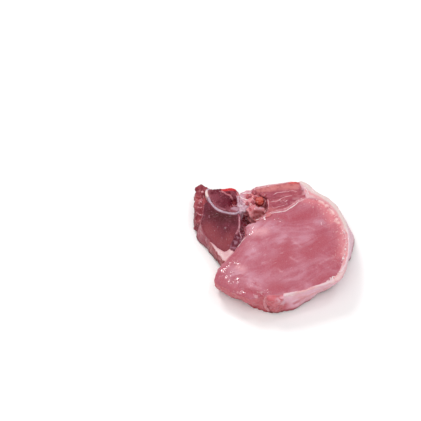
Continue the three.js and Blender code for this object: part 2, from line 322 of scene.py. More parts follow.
def cells(tree, place, size, width, strength=1.0):
    """A mask of the seams between cells of that size in millimetres, such as the bundles of fibres
    in a cut muscle."""
    edge = put(tree, "ShaderNodeTexVoronoi", {"Vector": place, "Scale": 1 / (size * MM)},
               feature="DISTANCE_TO_EDGE")
    return masked(tree, edge, width, 0.0, strength)


def turned(tree, place, angle, stretch):
    """The place turned about the vertical and squeezed, so that patterns run along that angle."""
    return put(tree, "ShaderNodeMapping",
               {"Vector": place, "Rotation": (0, 0, math.radians(angle)), "Scale": (stretch, 1, 1)},
               vector_type="TEXTURE")


def attribute(tree, name):
    """What the piece's mesh stores under that name at each point."""
    return add(tree, "ShaderNodeAttribute", attribute_name=name).outputs["Fac"]


def stored(tree, name, start, end, strength=1.0):
    """A mask from a stored attribute: nothing at start, its full strength at end."""
    return masked(tree, attribute(tree, name), start, end, strength)


def under_film(colour):
    """The tissue's own colour, which looks like the given one once its wet film adds a pale sheen."""
    let_through, sheen, darkest = 0.93, 0.018, 0.002
    return (*[max(let_through * part - sheen, darkest) for part in linear(colour)[:3]], 1)


def painted(tree, ground, layers):
    """Colours laid over the ground one after another, each where its mask is full."""
    surface = under_film(ground)
    for mask, colour in layers:
        surface = add(tree, "ShaderNodeMix", {0: mask, 6: surface, 7: under_film(colour)},
                      data_type="RGBA").outputs[2]
    return surface


def wet_surface(material, place, colour, roughness, grain, bump, film=0.12, juice=1.33):
    """Ends a finish as moist tissue with a fine grain: light sinks in a little, and a film of juice
    lies on top, which stands in smooth puddles at the wet spots. Under juice the tissue itself
    reflects little, so its IOR is low. The grain's size and height are in millimetres."""
    tree = material.node_tree
    puddles = times(tree, attribute(tree, "wet"), patches(tree, place, 2.4, 0.4, 0.55))
    puddles = masked(tree, puddles, 0.0, 0.4)
    gloss, cover = (put(tree, "ShaderNodeMapRange", {0: puddles, 1: 0.0, 2: 1.0, 3: dry, 4: wet})
                    for dry, wet in ((roughness, 0.1), (film, 1.0)))
    grit = patches(tree, place, grain, 0.3, 0.7)
    normal = put(tree, "ShaderNodeBump", {"Height": grit, "Distance": bump * MM, "Strength": 1.0})
    skin = put(tree, "ShaderNodeBsdfPrincipled", {
        "Base Color": colour, "Roughness": gloss, "IOR": 1.25, "Normal": normal,
        "Subsurface Weight": 0.1, "Subsurface Radius": (1.0, 0.5, 0.4), "Subsurface Scale": 1.2 * MM,
        "Coat Weight": cover, "Coat Roughness": 0.08, "Coat IOR": juice,
    })
    add(tree, "ShaderNodeOutputMaterial", {"Surface": skin})
    return material


def films(tree, place, size, strength):
    """A mask of thin sheets that overlap, of that size in millimetres: each has one crisp edge and
    fades away from it."""
    noise = put(tree, "ShaderNodeTexNoise",
                {"Vector": place, "Scale": 1 / (size * MM), "Detail": 3.0, "Distortion": 0.8})
    steps = put(tree, "ShaderNodeMath", {0: times(tree, noise, 7.0)}, operation="FRACT")
    return masked(tree, steps, 0.2, 1.0, strength)


def lean_pork():
    """Lean pork cut across its grain: rose, with milky clouds and faint marbling under a wet shine.
    The clouds are partly painted sheen. The pale line on the left edge and the pale specks beside
    the fat are partly painted highlights, and painted shade darkens a crease and, with blood, the
    foot of the walls. The bundles of fibres are about 1 mm wide and drawn a little coarser."""
    material, tree, place = new_finish("cut_lean_pork")
    side = steep(tree)
    brushed = turned(tree, place, 24, 2.2)
    height = height_of(tree, place)
    colour = painted(tree, "#b96776", [
        (patches(tree, place, 24, 0.44, 0.6, 0.7, 3.0, 0.6), "#ae5866"),
        (patches(tree, brushed, 14, 0.44, 0.62, 0.6, 4.0, 1.2), "#c27d8c"),
        (films(tree, brushed, 14, 0.2), "#d297a5"),
        (films(tree, place, 9, 0.15), "#a5505e"),
        (patches(tree, brushed, 4, 0.5, 0.66, 0.2, 4.0), "#cb8b99"),
        # darker rose patches of the meat; along the crease near the lower edge this is painted shade
        (stored(tree, "deep", 0.0, 1.0, 0.75), "#b0535f"),
        # milky clouds: partly thin fascia, partly painted sheen of the wet film
        (times(tree, attribute(tree, "milk_and_sheen"), patches(tree, brushed, 9, 0.36, 0.58, 1.0, 4.0, 1.5)),
         "#d199a9"),
        (times(tree, attribute(tree, "glow"), patches(tree, brushed, 7, 0.3, 0.55, 1.0, 4.0, 1.0)),
         "#e2a3ab"),
        (times(tree, attribute(tree, "streak"), patches(tree, place, 2, 0.3, 0.6)), "#d99fab"),
        (times(tree, stored(tree, "border", 0.05, 0.8), patches(tree, place, 6, 0.2, 0.55)),
         "#db868d"),
        # pale edge and fine pale specks beside the fat: partly beads of fat, partly painted glints of
        # juice
        (times(tree, stored(tree, "edge", 0.1, 0.8), patches(tree, place, 3, 0.38, 0.6)), "#f0c4c2"),
        (times(tree, attribute(tree, "border"), patches(tree, place, 1.3, 0.58, 0.68)), "#f2d0cc"),
        (stored(tree, "seam", 1.3 * MM, 0.3 * MM, 0.6), "#dc9da6"),
        (cells(tree, place, 1.3, 0.1, 0.15), "#d897a4"),
        (patches(tree, turned(tree, place, 24, 4), 0.9, 0.62, 0.74, 0.3), "#e3b6c0"),
        (times(tree, side, 0.75), "#d4747c"),
        # dark red foot of the walls: partly blood, partly painted shade where they meet the table
        (times(tree, side, masked(tree, height, 4.5 * MM, 0.5 * MM, 0.85)), "#a53a40"),
        # pale line on the eye's left edge: partly membrane, partly a painted highlight on the rolled edge
        (stored(tree, "membrane", 0.1, 0.8, 0.9), "#f0cdd0"),
    ])
    return wet_surface(material, place, colour, 0.38, 1.1, 0.1, 0.04, 1.7)


wet_spots = dotted(
    "eye_wet_spots",
    (-30.1, -18.2), (-25, -17.5), (-32.4, -22.8), (-26.8, -23.5), (-29.3, -26.9), (-27.8, -30.8),
    (-23.9, -29.7), (-25.5, -38), (-21.3, -37.3), (-11.8, -41.8), (-7, -41.2), (-16.9, 10.7),
    (-14.4, 7.7), (-15.7, 4.5), (-17.6, 8.6), (-12.4, 9.6), (-16.6, 2), (-10.6, 11.6), (-7.4, 13),
    (1.5, 12.8), (4.3, 12), (35.3, 20.9), (29, 9.6), (42, -17), (-12.4, -39.8), (-9, -39.4), (-6, -38.4))
creases = drawn("eye_creases", [(-22, -35), (-17.7, -37), (-12.5, -38.2), (-8, -40.2)])
lean_finish = lean_pork()
beside_rim = {
    0: [(-14, -38.7), (-12, -39.5), (-9.9, -40.6), (-7, -41.6), (-5, -42.2), (-4.2, -40.5),
        (-6, -37), (-14, -37)],
    8: [(-14, -40), (-12, -40.4), (-9.9, -41), (-7.4, -41.8), (-6.4, -41.7), (-5.6, -40),
        (-6, -37), (-14, -37)],
    15.5: [(-14, -41.2), (-12, -41.3), (-9.9, -41.4), (-8.4, -41.7), (-7.2, -41.5), (-6.6, -40),
           (-6.5, -37), (-14, -37)]}
eye = tissue("eye_muscle_lean", "eye_muscle", "lean_meat", lean_finish, beside_rim, fineness=0.45,
             wet_spots=wet_spots, wet_radius=2.8, wet_height=2.1, lines=creases, line_width=1.6,
             line_height=-0.6, lump_size=11, lump_height=1, wrinkle_size=3, wrinkle_height=0.2,
             ragged_size=5, ragged_height=4, seed=1.0)
# Milky clouds: partly thin fascia, partly painted sheen where the wet face catches the light.
marked(eye, "milk_and_sheen", [
    (0.95, 4, [(-15.6, 9.5), (-10, 8)]), (0.7, 5, [(-12.5, 7), (-2, 8)]),
    (0.8, 4, [(-16.5, -13.5), (-14, -10.5)]), (0.8, 3.5, [(2, -4), (5, 0)]),
    (0.8, 4, [(-26, -24), (-20, -27), (-13, -31)]), (0.5, 5, [(9, -30), (15, -26)]),
    (0.5, 5, [(-15, -8), (-11, -3)]), (0.6, 5, [(12, -3), (19, -2)]), (0.6, 2.5, [(26, 10.5), (29, 11)]),
    (0.4, 2.5, [(20, -34), (10, -37)]), (0.6, 3.5, [(-1, -6.5), (2, -6)])])
marked(eye, "glow", [
    (0.9, 3.2, [(-12.8, 3.8), (-7, 4)]), (0.8, 2.6, [(-23, -21.4), (-21, -22.6)]),
    (0.5, 2, [(-14.5, 9.5), (-12, 8)])])
# Darker rose patches of the meat; the stroke along the crease near the lower edge is painted shade.
marked(eye, "deep", [
    (0.9, 7, [(1, -19), (6, -15), (5, -7)]), (0.8, 4.5, [(-3, -35.5), (1, -35)]),
    (0.9, 7, [(20, -11), (28, -4)]), (0.7, 5, [(12, 14), (24, 17)]), (0.7, 3, [(-33, -30), (-20, -41)]),
    (0.9, 2, [(-19, -37), (-12, -38.6), (-9, -40.5)]), (0.6, 4, [(-22, -9), (-27, -17)]),
    (0.6, 5, [(34, -19), (37, -8)]), (1, 3, [(-8, 14), (6, 14)]), (0.6, 3, [(-15, -1), (-11, 0)]),
    (0.8, 3.4, [(-20, -6.5), (-17, -6)]), (0.6, 3, [(22, -32), (31, -26.5)])])
marked(eye, "streak", [(0.4, 0.8, path) for path in (
    [(25, -20.7), (30, -17), (35, -15)], [(-8.8, -18.5), (-5.2, -17.8)], [(-1, -22), (3, -25)],
    [(8.3, -15), (12.5, -17.8)], [(10.6, -3.6), (14.7, -7.2)], [(20, 6.6), (24, 5)],
    [(-26, -24), (-19, -26), (-12, -30)], [(-24, -28), (-17, -29.5), (-10, -34)],
    [(-18, -33), (-10, -36)])])
# The pale line along the eye's left edge: partly membrane, partly a painted highlight where it rolls over.
marked(eye, "membrane", [(0.9, 0.8, [
    (-18.8, 1.3), (-21.3, -0.9), (-23.2, -3.8), (-26.3, -7.4), (-29.4, -11), (-31.3, -13.8)])])
fat_border = [(20, 33), (26, 31), (32, 26), (37, 20), (40, 12), (42, 4), (42, -6), (41, -14)]
# Beside the fat: a salmon band, and a pale edge and specks that are partly beads of fat, partly painted
# glints.
marked(eye, "border", [(0.9, 8, fat_border[:5]), (0.55, 6, fat_border[4:])])
marked(eye, "edge", [(0.9, 3.2, fat_border[:5]), (0.4, 2, fat_border[4:])])

# ---------------------------------------------------------------- silver skin
# The pale sheet of connective tissue that wraps the upper side of the eye muscle. It is tough
# and wet, and thin enough to let the meat show. Its cut edge stands up as a white line, and its
# end is torn off beside the bone.


def thin_tissue(name, ground, thick, thin):
    """Thin tissue that is paler where it is thick and lets the meat through where it is thin."""
    material, tree, place = new_finish(name)
    colour = painted(tree, ground, [
        (patches(tree, place, 5, 0.45, 0.6, 0.7), thin),
        (patches(tree, place, 1.6, 0.5, 0.66, 0.7), thick),
    ])
    return wet_surface(material, place, colour, 0.32, 0.8, 0.05, 0.2)


def landed(tree, shape, given):
    """The shape's points, dropped from above on the tissues that are there already. Where there is
    nothing to land on, they stay as drawn."""
    overhead = 100 * MM
    target = put(tree, "GeometryNodeCollectionInfo", {"Collection": given["Onto"]})
    target = put(tree, "GeometryNodeRealizeInstances", {"Geometry": target})
    place = put(tree, "GeometryNodeInputPosition")
    high = put(tree, "ShaderNodeVectorMath", {0: place, 1: (0, 0, overhead)})
    hit = add(tree, "GeometryNodeRaycast", {
        "Target Geometry": target, "Source Position": high, "Ray Direction": (0, 0, -1),
        "Ray Length": 2 * overhead}).outputs
    down = put(tree, "ShaderNodeCombineXYZ", {2: times(tree, given["Sink"], -1.0)})
    return moved(tree, shape, Selection=hit["Is Hit"], Position=hit["Hit Position"], Offset=down)


def strands_form():
    """Cords of tissue along drawn paths, uneven in thickness and tapered at both ends."""
    tree, given = new_form("strands", {
        "Onto": ("Collection", None), "Width": ("Length", 0.7), "Sink": ("Length", 0.12),
        "Wander": ("Length", 0.8), "Unevenness": ("Float", 1.0), "Seed": ("Float", 0.0),
        "Finish": ("Material", None),
    })
    path = put(tree, "GeometryNodeMeshToCurve", {"Mesh": given["Geometry"]})
    path = put(tree, "GeometryNodeCurveSplineType", {"Curve": path}, spline_type="CATMULL_ROM")
    path = put(tree, "GeometryNodeResampleCurve", {"Curve": path, "Length": 0.3 * MM}, mode="LENGTH")
    sway = add(tree, "ShaderNodeTexNoise", {"Scale": 1 / (4 * MM), "W": given["Seed"]},
               noise_dimensions="4D").outputs[1]
    sway = put(tree, "ShaderNodeVectorMath", {0: sway, 1: (0.5, 0.5, 0.5)}, operation="SUBTRACT")
    path = moved(tree, path, Offset=scaled(tree, sway, given["Wander"]))
    path = landed(tree, path, given)
    path = moved(tree, path, Position=eased(tree, 4))
    along = add(tree, "GeometryNodeSplineParameter").outputs["Factor"]
    taper = maths(tree, "POWER", times(tree, along, maths(tree, "SUBTRACT", 1.0, along)), 0.4)
    uneven = masked(tree, lumps(tree, 3 * MM, given["Seed"]), 0.2, 0.75)
    uneven = times(tree, maths(tree, "SUBTRACT", uneven, 0.5), given["Unevenness"])
    radius = times(tree, times(tree, taper, given["Width"]), maths(tree, "ADD", uneven, 0.85))
    section = put(tree, "GeometryNodeCurvePrimitiveCircle", {"Resolution": 8, "Radius": 1.0})
    cord = put(tree, "GeometryNodeCurveToMesh",
               {"Curve": path, "Profile Curve": section, "Scale": radius, "Fill Caps": True})
    return finished(tree, cord, given)


strand_tree = strands_form()
scraps = bpy.data.collections.new("scraps")  # the small pieces, which nothing is laid on
bpy.context.scene.collection.children.link(scraps)


def strands(name, finish, *paths, slot="connective_tissue", **values):
    """One piece of cords that follow the paths."""
    piece = formed(name, scraps, drawn(name + "_paths", *paths).data, strand_tree,
                   {"finish": finish, "onto": tissues, **values})


membrane_finish = thin_tissue("wet_membrane", "#c9838d", "#e6bcc2", "#b96c77")
fascia_finish = thin_tissue("thin_fascia", "#f0d3d6", "#f7e7e6", "#e2b0b8")
tissue("silver_skin_sheet", "silver_skin", "connective_tissue", membrane_finish, fineness=0.25,
       swelling=0.12, lump_size=6, wrinkle_size=1.5, wrinkle_height=0.3, seed=2.0)
strands("silver_skin_edge", fascia_finish,
        [(-3.5, 16.2), (-1.9, 17.4), (0.8, 18), (3.6, 18.5), (6, 18.9), (8, 19.9), (10, 21.3),
         (11.6, 22.4), (13.6, 24.1), (14.8, 25.5), (17.3, 26.9), (19.7, 28.6)],
        width=0.62, wander=0.5, seed=1.0)
strands("silver_skin_tip", thin_tissue("salmon_membrane", "#d57c82", "#e6a3a6", "#c4606b"),
        [(-6.2, 14.2), (-4.8, 15.1), (-3.2, 16.2), (-1.4, 17)], width=1.9, sink=0, wander=0.2,
        unevenness=0.6, seed=3.0)
strands("silver_skin_ends", fascia_finish, [(-7.8, 14.4), (-6.4, 14.6), (-5.4, 16)],
        [(-7, 13.6), (-5.8, 15)], width=0.8, wander=0.4, seed=8.0)

# ---------------------------------------------------------------- fat cap
# The firm layer of back fat round the outer side of the eye muscle, grown to it by a thin seam.
# Its cut face is cream with rosy veins and beads of fat along the meat, and its outer side is
# smooth, lilac to tan, and darker where it meets the table, partly blood and partly painted shade.


def back_fat():
    """Back fat: waxy cream with soft rosy veins, and stained, faintly layered lilac on the walls."""
    material, tree, place = new_finish("pork_back_fat")
    side = steep(tree)
    layered = put(tree, "ShaderNodeMapping", {"Vector": place, "Scale": (4, 4, 1)},
                  vector_type="TEXTURE")
    height = height_of(tree, place)
    colour = painted(tree, "#e4c3c6", [
        (patches(tree, place, 6, 0.45, 0.65, 0.6), "#deafb6"),
        (stored(tree, "rose", 0.1, 0.9, 0.9), "#e0959b"),
        (patches(tree, turned(tree, place, -45, 5), 3, 0.5, 0.62, 0.6), "#dba6ad"),
        (stored(tree, "white", 0.1, 0.8, 0.95), "#e2ccc9"),
        (cells(tree, place, 2.4, 0.06, 0.3), "#efdedd"),
        (stored(tree, "seam", 1.4 * MM, 0.4 * MM, 0.8), "#e4a2a6"),
        (times(tree, side, 0.95), "#f3bfd2"),
        (times(tree, side, patches(tree, place, 9, 0.4, 0.66, 0.6, 5.0)), "#e5a3b0"),
        (times(tree, side, patches(tree, layered, 2.6, 0.5, 0.7, 0.5, 4.0)), "#f2d2d6"),
        (times(tree, side, patches(tree, layered, 1.7, 0.56, 0.7, 0.3)), "#df9fae"),
        (times(tree, attribute(tree, "tan"), patches(tree, place, 9, 0.3, 0.66, 1.0, 5.0)),
         "#e88f88"),
        (attribute(tree, "stain"), "#cc6470"),
        # dark red foot of the wall: partly blood, partly painted shade where it meets the table
        (times(tree, side, masked(tree, height, 4.5 * MM, 0.5 * MM, 0.95)), "#8c2f38"),
        (stored(tree, "line", 0.2, 0.8, 0.8), "#e6ccd3"),
    ])
    return wet_surface(material, place, colour, 0.38, 1.4, 0.1, 0.2)


fat_finish = back_fat()
ridges = drawn("fat_ridges", [(44.3, 5.5), (45, 1), (44.8, -6), (44, -13), (42, -20), (39, -25)],
               [(34, -31), (28.6, -33.8), (19.5, -35.9), (13.4, -37.9), (7.4, -40), (4, -41)])
cap = tissue("fat_cap_layer", "fat_cap", "fat", fat_finish, lump_size=7, lump_height=0.9,
             wrinkle_size=2.2, wrinkle_height=0.25, lines=ridges, line_width=1.1, line_height=0.35,
             ragged_height=1, seed=3.0)
marked(cap, "white", [
    (1, 1.35, [(18, 41), (20, 38.6), (25, 33.6), (30, 29.9), (35, 26), (39.5, 19.6), (43, 10),
               (44.5, 4)]),
    (0.4, 1.2, [(35, -31), (39, -26.6)])])
marked(cap, "rose", [
    (1, 1.3, [(43.6, 4), (43.4, -6), (42.8, -13), (41, -20)]), (0.8, 1.1, [(32, -31), (21, -35.6)]),
    (0.4, 1, [(21, -35.6), (10, -39)]),
    (0.8, 1.5, [(20, 34), (23, 31.4), (28, 28.4), (33, 24.4), (38, 17), (42.4, 8)])])
marked(cap, "tan", [(0.9, 6, [(16, -38, 11), (30, -33, 12), (40, -27, 12)])])
marked(cap, "stain", [
    (1, 4.5, [(3.8, -42.4, 0), (3.8, -42.4, 9)]), (0.9, 4.5, [(4, -42.2, 1), (9, -41.4, 1)]),
    (0.85, 2, [(11, -41, 9), (13.4, -40.5, 9.6)]), (0.5, 2.4, [(15, -40, 10.2), (17.5, -39.4, 10.8)]),
    (0.6, 4, [(8, -41, 0.5), (20, -37, 1)])])


def scraps_form():
    """Rounded scraps, one at each given point, lying half sunk on the tissues."""
    tree, given = new_form("scraps", {
        "Onto": ("Collection", None), "Size": ("Length", 0.7), "Variety": ("Float", 0.4),
        "Sink": ("Length", 0.1), "Detail": ("Int", 3), "Seed": ("Int", 0),
        "Finish": ("Material", None),
    })
    points = landed(tree, given["Geometry"], given)
    ball = put(tree, "GeometryNodeMeshIcoSphere", {"Radius": 1.0, "Subdivisions": given["Detail"]})
    least, most = (maths(tree, way, 1.0, given["Variety"]) for way in ("SUBTRACT", "ADD"))
    least, most = (put(tree, "ShaderNodeCombineXYZ", {0: size, 1: size, 2: size})
                   for size in (least, most))
    shape = put(tree, "FunctionNodeRandomValue", {0: least, 1: most, "Seed": given["Seed"]},
                data_type="FLOAT_VECTOR")
    sizes = scaled(tree, shape, given["Size"])
    full_turn = (6.28, 6.28, 6.28)
    turn = put(tree, "FunctionNodeRandomValue", {0: (0, 0, 0), 1: full_turn, "Seed": given["Seed"]},
               data_type="FLOAT_VECTOR")
    bits = put(tree, "GeometryNodeInstanceOnPoints",
               {"Points": points, "Instance": ball, "Rotation": turn, "Scale": sizes})
    bits = put(tree, "GeometryNodeRealizeInstances", {"Geometry": bits})
    bits = raised(tree, bits, lumps(tree, given["Size"], 0.5), given["Size"])
    return finished(tree, bits, given)


scrap_tree = scraps_form()


def scattered(name, slot, finish, spots, **values):
    """One piece of scraps that lie at the spots."""
    piece = formed(name, scraps, dotted(name + "_spots", *spots).data, scrap_tree,
                   {"finish": finish, "onto": tissues, **values})


rng = np.random.default_rng(5)
bead_line = np.array([(42.5, 5), (42.8, -0.4), (42.8, -6.2), (41.7, -12.6), (40.9, -15.4), (38.9, -24.6),
                      (36.3, -27.4), (32.5, -30.1), (30, -32.2)])
steps = np.sort(rng.uniform(0, len(bead_line) - 1, 40))
beads = [[np.interp(step, range(len(bead_line)), bead_line[:, axis]) + rng.normal(0, 0.4)
          for axis in (0, 1)] for step in steps]
scattered("fat_beads", "fat", fascia_finish, beads, size=0.5, variety=0.6, sink=0.15, seed=3)
strands("fat_fork", fascia_finish, [(19, 37.4), (20.4, 35.2), (21.2, 33), (22.3, 30.9)],
        [(24, 37), (24.4, 34), (25.6, 32.4)], width=1, seed=2.0)

# ---------------------------------------------------------------- vertebra
# The body of the vertebra, sawn through: spongy bone full of dark red marrow, in a smooth
# lilac rim of cartilage. Hollows and thin ridges of bone stand in the sawn face.


def spongy_bone():
    """Sawn spongy bone: maroon marrow between fine pale specks of bone, with a moist shine."""
    material, tree, place = new_finish("sawn_spongy_bone")
    colour = painted(tree, "#70303c", [
        (patches(tree, place, 6, 0.46, 0.64, 0.8), "#8d4855"),
        (stored(tree, "seam", 2.4 * MM, 0.6 * MM, 0.6), "#a8616c"),
        (stored(tree, "marrow", 0.15, 0.8), "#d4393d"),
        (stored(tree, "pale", 0.2, 0.8, 0.9), "#bf93a2"),
        (stored(tree, "line", 0.2, 0.8, 0.8), "#cb8087"),
        # darker in the low places of the relief: painted shade
        (stored(tree, "crag", 0.46, 0.34, 0.5), "#5f2530"),
        (stored(tree, "pit", 0.2, 0.8, 0.9), "#923f46"),
        (patches(tree, place, 1.1, 0.6, 0.72, 0.5), "#b97e8c"),
    ])
    return wet_surface(material, place, colour, 0.36, 1.1, 0.2)


def cartilage():
    """Cartilage: smooth, dense and lilac-white, with a soft even gloss."""
    material, tree, place = new_finish("cartilage")
    colour = painted(tree, "#b596a4", [
        (patches(tree, place, 4, 0.45, 0.65, 0.7), "#c6b0be"),
        (stored(tree, "seam", 0.8 * MM, 0.3 * MM, 0.6), "#a97c8a"),
        (patches(tree, place, 3, 0.55, 0.7, 0.5), "#b08090"),
        (stored(tree, "pale", 0.2, 0.8, 0.9), "#f0d5d1"),
    ])
    return wet_surface(material, place, colour, 0.3, 1.5, 0.05, 0.3)


bone_finish = spongy_bone()
cartilage_finish = cartilage()
hollows = dotted("vertebra_hollows", (-25.4, 29.5), (-25.6, 26.8), (-27.2, 25.5), (-29, 33.9))
long_spur = [(-33, 35.9), (-30.3, 33.8), (-27.8, 32.8), (-25.9, 30.6)]
spurs = drawn("vertebra_spurs", long_spur, [(-23.2, 35), (-21.9, 31)])
body = tissue("vertebra_body_bone", "vertebra_body", "bone", bone_finish, fineness=0.3, lump_size=5,
              lump_height=0.8, wrinkle_size=1.6, wrinkle_height=0.4, pits=hollows, pit_radius=2.2,
              pit_depth=1.4, lines=spurs, line_width=1.2, line_height=0.6, seed=4.0)
marked(body, "marrow", [(1, 1.7, [(-32, 37.4, 16.6), (-24, 37.6, 16.6)]),
                        (0.4, 1.2, [(-23.6, 34, 16.5), (-23, 30, 16.5)])])
marked(body, "pale", [(0.9, 1.8, [(-26, 23.5), (-23, 22.2)]), (0.6, 0.9, [(-22, 34), (-21.7, 28)]),
                      (0.4, 1.2, [(-36, 25), (-31, 22)])])
rim = tissue("vertebra_cartilage_rim", "vertebra_cartilage", "cartilage", cartilage_finish,
             fineness=0.25, swelling=-0.12, seam_height=0.0, lump_size=5, lump_height=0.8,
             wrinkle_size=2, wrinkle_height=0.3, seed=5.0)
marked(rim, "pale", [(1, 2, [(-43.5, 35.5), (-43, 33)]), (0.4, 1.5, [(-21, 19)])])
strands("vertebra_ridges", membrane_finish, long_spur, [(-26.8, 28), (-24.8, 25.8), (-22.8, 25.4)],
        [(-24.2, 33.6), (-23, 31), (-22.6, 27.8)], width=1, seed=3.0)

# ---------------------------------------------------------------- tenderloin
# The dark, finely grained muscle under the vertebra, and a smaller dark one beside it. The thin
# bony blade of the vertebra grows between them, and pale membrane lines its edge.


def dark_pork():
    """Dark lean pork: maroon and closely grained, with pale specks of juice that are painted
    highlights, and a soft mottled pink skin on its outer wall, darker towards its foot with painted
    shade."""
    material, tree, place = new_finish("cut_dark_pork")
    side = steep(tree)
    height = height_of(tree, place)
    colour = painted(tree, "#6a2e3a", [
        (patches(tree, place, 8, 0.42, 0.62, 0.7), "#7f3d4a"),
        (patches(tree, place, 5, 0.48, 0.66, 0.6), "#5a2430"),
        (attribute(tree, "red"), "#93494f"),
        (attribute(tree, "shade"), "#501c27"),
        (cells(tree, place, 1.2, 0.1, 0.25), "#8f5263"),
        # pale specks where the juice glints: painted highlights
        (patches(tree, place, 1.3, 0.62, 0.7, 0.6), "#a06878"),
        (stored(tree, "seam", 0.9 * MM, 0.3 * MM, 0.4), "#9c6470"),
        (times(tree, attribute(tree, "speckle"), patches(tree, place, 1.6, 0.5, 0.64, 0.7)),
         "#ac7f90"),
        (times(tree, side, 0.9), "#b56a75"),
        (times(tree, side, patches(tree, place, 6, 0.42, 0.62, 0.7, 4.0)), "#9a4b58"),
        (times(tree, side, patches(tree, place, 3, 0.52, 0.66, 0.7, 4.0)), "#cf9aa2"),
        # darker towards the foot of the wall: painted shade
        (times(tree, side, masked(tree, height, 6 * MM, 0.5 * MM, 0.8)), "#7a2f3b"),
    ])
    return wet_surface(material, place, colour, 0.42, 0.9, 0.1, 0.03, 1.36)


dark_finish = dark_pork()
flecks = dotted(
    "tenderloin_wet_spots", (-41.1, 15.2), (-36.1, 18.9), (-33.6, 16), (-38, 7.8), (-36, 10.5),
    (-29.9, 1.9), (-33, -1), (-31, 9), (-28, 17))
loin = tissue("tenderloin_lean", "tenderloin", "dark_meat", dark_finish, lump_size=7, lump_height=0.9,
              wet_spots=flecks, wet_radius=1.4, wet_height=0.9, ragged_height=1, seed=6.0)
marked(loin, "red", [(0.9, 6, [(-42, 8), (-36, 0), (-31, -3), (-28, 1)])])
marked(loin, "shade", [(0.8, 4, [(-39, 19), (-33, 17), (-27, 17)])])
blade_finish = thin_tissue("thin_bone_blade", "#a05c6a", "#bf8792", "#8a4654")
tissue("transverse_process_blade", "transverse_process", "cartilage", blade_finish, fineness=0.2,
       swelling=0.05, seam_height=0.1, softness=2, wrinkle_size=1.6, wrinkle_height=0.4, seed=7.0)
beside_loin = tissue("side_muscle_lean", "side_muscle", "dark_meat", dark_finish, fineness=0.3,
                     wrinkle_size=1.4, wrinkle_height=0.6, lump_size=4, lump_height=0.8, seed=8.0)
marked(beside_loin, "speckle", [(1, 3.5, [(-21.5, 3), (-26, -3)])])
strands("blade_edge", thin_tissue("blade_lining", "#d29aa4", "#e8c2c8", "#b9747f"),
        [(-22, 18.7), (-22.1, 13.5), (-22.3, 8.4), (-22.6, 6)],
        [(-22.4, 7.6), (-21.4, 4.6), (-20.6, 2)], width=0.6, wander=0.5, seed=4.0)

# ---------------------------------------------------------------- dorsal muscles
# Three small red back muscles that lie in layers over the eye muscle. Thin pale sheets of tissue
# part them and run through them, and the upper one is tawny where it has dried.


def red_pork():
    """Red pork cut nearly along its fibres: fine long streaks, tawny to bright red at its rim."""
    material, tree, place = new_finish("cut_red_pork")
    along = turned(tree, place, 8, 4)
    colour = painted(tree, "#ab5964", [
        (patches(tree, along, 5, 0.45, 0.62, 0.6), "#98485a"),
        (patches(tree, along, 2, 0.48, 0.66, 0.5), "#bd707c"),
        (stored(tree, "tawny", 0.1, 0.9, 0.9), "#d0807f"),
        (stored(tree, "flush", 0.1, 0.9), "#de605b"),
        # darker in the hollows of the relief and lighter on its crests: painted shade and highlight
        (stored(tree, "crag", 0.5, 0.36, 0.35), "#95444f"),
        (stored(tree, "crag", 0.56, 0.68, 0.35), "#d08e94"),
        (stored(tree, "seam", 1 * MM, 0.3 * MM, 0.35), "#c9838c"),
        (stored(tree, "pale", 0.1, 0.9, 0.9), "#e9bfc3"),
        (patches(tree, along, 0.9, 0.6, 0.7, 0.25), "#dca0a6"),
    ])
    return wet_surface(material, along, colour, 0.38, 0.8, 0.1)


red_finish = red_pork()
top_rim = [(-13.2, 34.6), (-12, 37.1), (-7.5, 38.3), (-2.3, 39.4), (4.1, 40.8), (10.5, 41.9), (14.3, 42.6)]
muscles = {}
for number, layer in enumerate(("upper", "middle", "lower")):
    muscles[layer] = tissue(
        "dorsal_muscle_%s_lean" % layer, "dorsal_muscle_" + layer, "red_meat", red_finish,
        fineness=0.3, swelling=0.34, lump_size=6, lump_height=0.6,
        wrinkle_size=2.4, wrinkle_height=0.4, seed=9.0 + number)
marked(muscles["upper"], "tawny", [(0.9, 3, [(-9, 36.5), (2, 38), (14, 38.5)])])
marked(muscles["upper"], "flush", [(1, 2, [(10.5, 42, 18.4), (17, 42.4, 18.4)])])
marked(muscles["upper"], "pale", [(0.7, 0.7, top_rim), (0.6, 2.2, [(19, 40), (19, 35)])])
marked(muscles["middle"], "pale", [(0.5, 2, [(19.5, 35), (19, 31)])])
marked(muscles["lower"], "pale", [(0.35, 1.8, [(12.5, 29), (15, 29)]),
                                  (0.3, 1, [(-5, 24), (-4.4, 18.5)])])
marked(muscles["lower"], "tawny", [(0.5, 2.5, [(-3, 22), (2, 20.5)])])
marked(muscles["lower"], "flush", [(0.8, 1.2, [(-4.6, 17.8), (-2.4, 18.4)])])
sheet_finish = thin_tissue("muscle_sheet", "#dc9ca5", "#ecc3c8", "#c77f8a")
strands("muscle_sheets", sheet_finish, top_rim,
        [(-2.3, 30.9), (0.2, 32.3), (1.8, 33.5), (5, 33.8), (8.2, 34.4), (11.4, 35.2), (13.7, 34.7),
         (16.1, 34.2)],
        [(-2.8, 26.6), (-0.8, 27.6), (1.6, 27.8), (4, 29), (6, 30.2), (8.8, 30.9), (12, 31.6)],
        [(-1.8, 26), (-1.8, 25.2), (-1.6, 23.8), (-0.5, 22.4), (1.5, 22.9), (3.4, 23.6), (5.4, 24.1),
         (7.4, 25), (8.6, 25.9), (9.7, 27)],
        [(6.3, 26.4), (7.5, 27.4), (8.8, 28.3)], [(-4.2, 30), (-3.6, 26), (-4, 21.6)],
        width=0.62, wander=0.6, seed=5.0)

